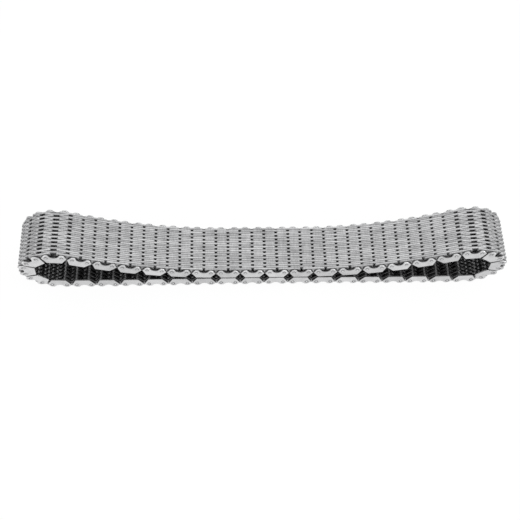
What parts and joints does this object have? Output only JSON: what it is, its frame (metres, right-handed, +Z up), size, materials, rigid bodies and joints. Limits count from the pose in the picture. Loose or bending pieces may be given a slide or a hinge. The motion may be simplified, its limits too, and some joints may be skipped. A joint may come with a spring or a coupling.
{
  "type": "timing chain",
  "caption": "Endless inverted-tooth timing chain with rocker-pin joints and outer guide plates, lying slack on its lower strand.",
  "frame": {"origin": "on the ground under the middle of the chain, halfway along and across it", "axes": "+Z up, +X along the chain's length, +Y across its width"},
  "size_m": [0.3762, 0.039, 0.0583],
  "materials": {
    "plate_steel": "ground, lightly polished steel plates",
    "guide_steel": "bright polished steel",
    "pin_steel": "hardened ground steel"
  },
  "bodies": {
    "held_rows": {"lower_link_plates": "plate_steel", "lower_guided_plates": "plate_steel", "lower_guide_plates": "guide_steel", "lower_long_pins": "pin_steel", "lower_short_pins": "pin_steel", "link_row_50": "plate_steel", "link_row_68": "plate_steel"},
    "row_34": {"link_row_34": "plate_steel"},
    "row_35": {"link_row_35": "plate_steel"},
    "row_36": {"link_row_36": "plate_steel"},
    "row_37": {"link_row_37": "plate_steel"},
    "row_38": {"link_row_38": "plate_steel"},
    "row_39": {"link_row_39": "plate_steel"},
    "row_40": {"link_row_40": "plate_steel"},
    "row_41": {"link_row_41": "plate_steel"},
    "row_42": {"link_row_42": "plate_steel"},
    "row_43": {"link_row_43": "plate_steel"},
    "row_44": {"link_row_44": "plate_steel"},
    "row_45": {"link_row_45": "plate_steel"},
    "row_46": {"link_row_46": "plate_steel"},
    "row_47": {"link_row_47": "plate_steel"},
    "row_48": {"link_row_48": "plate_steel"},
    "row_49": {"link_row_49": "plate_steel"},
    "row_51": {"link_row_51": "plate_steel"},
    "row_52": {"link_row_52": "plate_steel"},
    "row_53": {"link_row_53": "plate_steel"},
    "row_54": {"link_row_54": "plate_steel"},
    "row_55": {"link_row_55": "plate_steel"},
    "row_56": {"link_row_56": "plate_steel"},
    "row_57": {"link_row_57": "plate_steel"},
    "row_58": {"link_row_58": "plate_steel"},
    "row_59": {"link_row_59": "plate_steel"},
    "row_60": {"link_row_60": "plate_steel"},
    "row_61": {"link_row_61": "plate_steel"},
    "row_62": {"link_row_62": "plate_steel"},
    "row_63": {"link_row_63": "plate_steel"},
    "row_64": {"link_row_64": "plate_steel"},
    "row_65": {"link_row_65": "plate_steel"},
    "row_66": {"link_row_66": "plate_steel"},
    "row_67": {"link_row_67": "plate_steel"},
    "row_69": {"link_row_69": "plate_steel"},
    "row_70": {"link_row_70": "plate_steel"},
    "row_71": {"link_row_71": "plate_steel"},
    "row_72": {"link_row_72": "plate_steel"},
    "row_73": {"link_row_73": "plate_steel"},
    "row_74": {"link_row_74": "plate_steel"},
    "row_75": {"link_row_75": "plate_steel"},
    "row_76": {"link_row_76": "plate_steel"},
    "row_77": {"link_row_77": "plate_steel"},
    "row_78": {"link_row_78": "plate_steel"},
    "row_79": {"link_row_79": "plate_steel"},
    "row_80": {"link_row_80": "plate_steel"},
    "row_81": {"link_row_81": "plate_steel"},
    "row_82": {"link_row_82": "plate_steel"},
    "row_83": {"link_row_83": "plate_steel"},
    "row_0": {"link_row_0": "plate_steel"}
  },
  "joints": [
    {"name": "joint_33", "type": "hinge", "parent": "held_rows", "child": "row_34", "pos_m": [-0.15715, 0, 0.00454], "axis": [0, 1, 0], "range_deg": [0, 7.53]},
    {"name": "joint_34", "type": "hinge", "parent": "row_34", "child": "row_35", "pos_m": [-0.16664, 0, 0.00537], "axis": [0, 1, 0], "range_deg": [0, 0.765]},
    {"name": "joint_35", "type": "hinge", "parent": "row_35", "child": "row_36", "pos_m": [-0.17493, 0, 0.01006], "axis": [0, 1, 0], "range_deg": [-3.86, 0]},
    {"name": "joint_36", "type": "hinge", "parent": "row_36", "child": "row_37", "pos_m": [-0.18085, 0, 0.01752], "axis": [0, 1, 0], "range_deg": [-2.45, 0]},
    {"name": "joint_37", "type": "hinge", "parent": "row_37", "child": "row_38", "pos_m": [-0.18354, 0, 0.02666], "axis": [0, 1, 0], "range_deg": [-1.28, 0]},
    {"name": "joint_38", "type": "hinge", "parent": "row_38", "child": "row_39", "pos_m": [-0.1826, 0, 0.03614], "axis": [0, 1, 0], "range_deg": [-1.72, 0]},
    {"name": "joint_39", "type": "hinge", "parent": "row_39", "child": "row_40", "pos_m": [-0.17817, 0, 0.04457], "axis": [0, 1, 0], "range_deg": [-0.772, 0]},
    {"name": "joint_40", "type": "hinge", "parent": "row_40", "child": "row_41", "pos_m": [-0.17089, 0, 0.05072], "axis": [0, 1, 0], "range_deg": [0, 0.769]},
    {"name": "joint_49", "type": "hinge", "parent": "held_rows", "child": "row_49", "pos_m": [-0.08993, 0, 0.02966], "axis": [0, -1, 0], "range_deg": [-0.765, 0]},
    {"name": "joint_48", "type": "hinge", "parent": "row_49", "child": "row_48", "pos_m": [-0.09916, 0, 0.03202], "axis": [0, -1, 0], "range_deg": [0, 0.93]},
    {"name": "joint_47", "type": "hinge", "parent": "row_48", "child": "row_47", "pos_m": [-0.1083, 0, 0.03471], "axis": [0, -1, 0], "range_deg": [0, 0.769]},
    {"name": "joint_46", "type": "hinge", "parent": "row_47", "child": "row_46", "pos_m": [-0.11734, 0, 0.03772], "axis": [0, -1, 0], "range_deg": [-2.5, 0]},
    {"name": "joint_45", "type": "hinge", "parent": "row_46", "child": "row_45", "pos_m": [-0.12626, 0, 0.04106], "axis": [0, -1, 0], "range_deg": [-4.2, 0]},
    {"name": "joint_44", "type": "hinge", "parent": "row_45", "child": "row_44", "pos_m": [-0.13506, 0, 0.04471], "axis": [0, -1, 0], "range_deg": [-2.46, 0]},
    {"name": "joint_43", "type": "hinge", "parent": "row_44", "child": "row_43", "pos_m": [-0.14372, 0, 0.04867], "axis": [0, -1, 0], "range_deg": [0, 2.27]},
    {"name": "joint_42", "type": "hinge", "parent": "row_43", "child": "row_42", "pos_m": [-0.15238, 0, 0.05264], "axis": [0, -1, 0], "range_deg": [0, 4.65]},
    {"name": "joint_0", "type": "hinge", "parent": "held_rows", "child": "row_0", "pos_m": [0.15715, 0, 0.00454], "axis": [0, -1, 0], "range_deg": [0, 7.53]},
    {"name": "joint_83", "type": "hinge", "parent": "row_0", "child": "row_83", "pos_m": [0.16664, 0, 0.00537], "axis": [0, -1, 0], "range_deg": [0, 0.765]},
    {"name": "joint_82", "type": "hinge", "parent": "row_83", "child": "row_82", "pos_m": [0.17493, 0, 0.01006], "axis": [0, -1, 0], "range_deg": [-3.86, 0]},
    {"name": "joint_81", "type": "hinge", "parent": "row_82", "child": "row_81", "pos_m": [0.18085, 0, 0.01752], "axis": [0, -1, 0], "range_deg": [-2.45, 0]},
    {"name": "joint_80", "type": "hinge", "parent": "row_81", "child": "row_80", "pos_m": [0.18354, 0, 0.02666], "axis": [0, -1, 0], "range_deg": [-1.28, 0]},
    {"name": "joint_79", "type": "hinge", "parent": "row_80", "child": "row_79", "pos_m": [0.1826, 0, 0.03614], "axis": [0, -1, 0], "range_deg": [-1.72, 0]},
    {"name": "joint_78", "type": "hinge", "parent": "row_79", "child": "row_78", "pos_m": [0.17817, 0, 0.04457], "axis": [0, -1, 0], "range_deg": [-0.772, 0]},
    {"name": "joint_77", "type": "hinge", "parent": "row_78", "child": "row_77", "pos_m": [0.17089, 0, 0.05072], "axis": [0, -1, 0], "range_deg": [0, 0.769]},
    {"name": "joint_68", "type": "hinge", "parent": "held_rows", "child": "row_69", "pos_m": [0.08993, 0, 0.02966], "axis": [0, 1, 0], "range_deg": [-0.765, 0]},
    {"name": "joint_69", "type": "hinge", "parent": "row_69", "child": "row_70", "pos_m": [0.09916, 0, 0.03202], "axis": [0, 1, 0], "range_deg": [0, 0.93]},
    {"name": "joint_70", "type": "hinge", "parent": "row_70", "child": "row_71", "pos_m": [0.1083, 0, 0.03471], "axis": [0, 1, 0], "range_deg": [0, 0.769]},
    {"name": "joint_71", "type": "hinge", "parent": "row_71", "child": "row_72", "pos_m": [0.11734, 0, 0.03772], "axis": [0, 1, 0], "range_deg": [-2.5, 0]},
    {"name": "joint_72", "type": "hinge", "parent": "row_72", "child": "row_73", "pos_m": [0.12626, 0, 0.04106], "axis": [0, 1, 0], "range_deg": [-4.2, 0]},
    {"name": "joint_73", "type": "hinge", "parent": "row_73", "child": "row_74", "pos_m": [0.13506, 0, 0.04471], "axis": [0, 1, 0], "range_deg": [-2.46, 0]},
    {"name": "joint_74", "type": "hinge", "parent": "row_74", "child": "row_75", "pos_m": [0.14372, 0, 0.04867], "axis": [0, 1, 0], "range_deg": [0, 2.27]},
    {"name": "joint_75", "type": "hinge", "parent": "row_75", "child": "row_76", "pos_m": [0.15238, 0, 0.05264], "axis": [0, 1, 0], "range_deg": [0, 4.65]},
    {"name": "joint_50", "type": "hinge", "parent": "held_rows", "child": "row_51", "pos_m": [-0.08063, 0, 0.02763], "axis": [0, 1, 0], "range_deg": [0, 0.474]},
    {"name": "joint_51", "type": "hinge", "parent": "row_51", "child": "row_52", "pos_m": [-0.07125, 0, 0.02594], "axis": [0, 1, 0], "range_deg": [-0.345, 0]},
    {"name": "joint_52", "type": "hinge", "parent": "row_52", "child": "row_53", "pos_m": [-0.06183, 0, 0.02458], "axis": [0, 1, 0], "range_deg": [-0.64, 0]},
    {"name": "joint_53", "type": "hinge", "parent": "row_53", "child": "row_54", "pos_m": [-0.05236, 0, 0.02356], "axis": [0, 1, 0], "range_deg": [-0.673, 0]},
    {"name": "joint_54", "type": "hinge", "parent": "row_54", "child": "row_55", "pos_m": [-0.04286, 0, 0.02288], "axis": [0, 1, 0], "range_deg": [-0.648, 0]},
    {"name": "joint_55", "type": "hinge", "parent": "row_55", "child": "row_56", "pos_m": [-0.03334, 0, 0.02254], "axis": [0, 1, 0], "range_deg": [-0.544, 0]},
    {"name": "joint_56", "type": "hinge", "parent": "row_56", "child": "row_57", "pos_m": [-0.02381, 0, 0.02254], "axis": [0, 1, 0], "range_deg": [-0.217, 0]},
    {"name": "joint_57", "type": "hinge", "parent": "row_57", "child": "row_58", "pos_m": [-0.01429, 0, 0.02254], "axis": [0, 1, 0], "range_deg": [0, 0.121]},
    {"name": "joint_58", "type": "hinge", "parent": "row_58", "child": "row_59", "pos_m": [-0.00476, 0, 0.02254], "axis": [0, 1, 0], "range_deg": [0, 1.02]},
    {"name": "joint_67", "type": "hinge", "parent": "held_rows", "child": "row_67", "pos_m": [0.08063, 0, 0.02763], "axis": [0, -1, 0], "range_deg": [0, 0.231]},
    {"name": "joint_66", "type": "hinge", "parent": "row_67", "child": "row_66", "pos_m": [0.07125, 0, 0.02594], "axis": [0, -1, 0], "range_deg": [-0.409, 0]},
    {"name": "joint_65", "type": "hinge", "parent": "row_66", "child": "row_65", "pos_m": [0.06183, 0, 0.02458], "axis": [0, -1, 0], "range_deg": [-0.638, 0]},
    {"name": "joint_64", "type": "hinge", "parent": "row_65", "child": "row_64", "pos_m": [0.05236, 0, 0.02356], "axis": [0, -1, 0], "range_deg": [-0.68, 0]},
    {"name": "joint_63", "type": "hinge", "parent": "row_64", "child": "row_63", "pos_m": [0.04286, 0, 0.02288], "axis": [0, -1, 0], "range_deg": [-0.704, 0]},
    {"name": "joint_62", "type": "hinge", "parent": "row_63", "child": "row_62", "pos_m": [0.03334, 0, 0.02254], "axis": [0, -1, 0], "range_deg": [-0.618, 0]},
    {"name": "joint_61", "type": "hinge", "parent": "row_62", "child": "row_61", "pos_m": [0.02381, 0, 0.02254], "axis": [0, -1, 0], "range_deg": [0, 0.113]},
    {"name": "joint_60", "type": "hinge", "parent": "row_61", "child": "row_60", "pos_m": [0.01429, 0, 0.02254], "axis": [0, -1, 0], "range_deg": [0, 1.02]}
  ],
  "couplings": [
    {"joint": "joint_34", "follows": "joint_33", "ratio": 0.0989},
    {"joint": "joint_35", "follows": "joint_33", "ratio": -0.5099},
    {"joint": "joint_36", "follows": "joint_33", "ratio": -0.3227},
    {"joint": "joint_37", "follows": "joint_33", "ratio": -0.1672},
    {"joint": "joint_38", "follows": "joint_33", "ratio": -0.2258},
    {"joint": "joint_39", "follows": "joint_33", "ratio": -0.0999},
    {"joint": "joint_40", "follows": "joint_33", "ratio": 0.0995},
    {"joint": "joint_49", "follows": "joint_33", "ratio": -0.0989},
    {"joint": "joint_48", "follows": "joint_33", "ratio": 0.1208},
    {"joint": "joint_47", "follows": "joint_33", "ratio": 0.0995},
    {"joint": "joint_46", "follows": "joint_33", "ratio": -0.3289},
    {"joint": "joint_45", "follows": "joint_33", "ratio": -0.5549},
    {"joint": "joint_44", "follows": "joint_33", "ratio": -0.3236},
    {"joint": "joint_43", "follows": "joint_33", "ratio": 0.2994},
    {"joint": "joint_42", "follows": "joint_33", "ratio": 0.6146},
    {"joint": "joint_83", "follows": "joint_0", "ratio": 0.0989},
    {"joint": "joint_82", "follows": "joint_0", "ratio": -0.5099},
    {"joint": "joint_81", "follows": "joint_0", "ratio": -0.3227},
    {"joint": "joint_80", "follows": "joint_0", "ratio": -0.1672},
    {"joint": "joint_79", "follows": "joint_0", "ratio": -0.2258},
    {"joint": "joint_78", "follows": "joint_0", "ratio": -0.0999},
    {"joint": "joint_77", "follows": "joint_0", "ratio": 0.0995},
    {"joint": "joint_68", "follows": "joint_0", "ratio": -0.0989},
    {"joint": "joint_69", "follows": "joint_0", "ratio": 0.1208},
    {"joint": "joint_70", "follows": "joint_0", "ratio": 0.0995},
    {"joint": "joint_71", "follows": "joint_0", "ratio": -0.3289},
    {"joint": "joint_72", "follows": "joint_0", "ratio": -0.5549},
    {"joint": "joint_73", "follows": "joint_0", "ratio": -0.3236},
    {"joint": "joint_74", "follows": "joint_0", "ratio": 0.2994},
    {"joint": "joint_75", "follows": "joint_0", "ratio": 0.6146},
    {"joint": "joint_50", "follows": "joint_58", "ratio": 0.4451},
    {"joint": "joint_51", "follows": "joint_58", "ratio": -0.3184},
    {"joint": "joint_52", "follows": "joint_58", "ratio": -0.6075},
    {"joint": "joint_53", "follows": "joint_58", "ratio": -0.6402},
    {"joint": "joint_54", "follows": "joint_58", "ratio": -0.6156},
    {"joint": "joint_55", "follows": "joint_58", "ratio": -0.5133},
    {"joint": "joint_56", "follows": "joint_58", "ratio": -0.1932},
    {"joint": "joint_57", "follows": "joint_58", "ratio": 0.099},
    {"joint": "joint_67", "follows": "joint_58", "ratio": 0.2073},
    {"joint": "joint_66", "follows": "joint_58", "ratio": -0.3813},
    {"joint": "joint_65", "follows": "joint_58", "ratio": -0.6055},
    {"joint": "joint_64", "follows": "joint_58", "ratio": -0.6468},
    {"joint": "joint_63", "follows": "joint_58", "ratio": -0.6705},
    {"joint": "joint_62", "follows": "joint_58", "ratio": -0.5867},
    {"joint": "joint_61", "follows": "joint_58", "ratio": 0.0914},
    {"joint": "joint_60", "follows": "joint_58", "ratio": 0.9804}
  ]
}
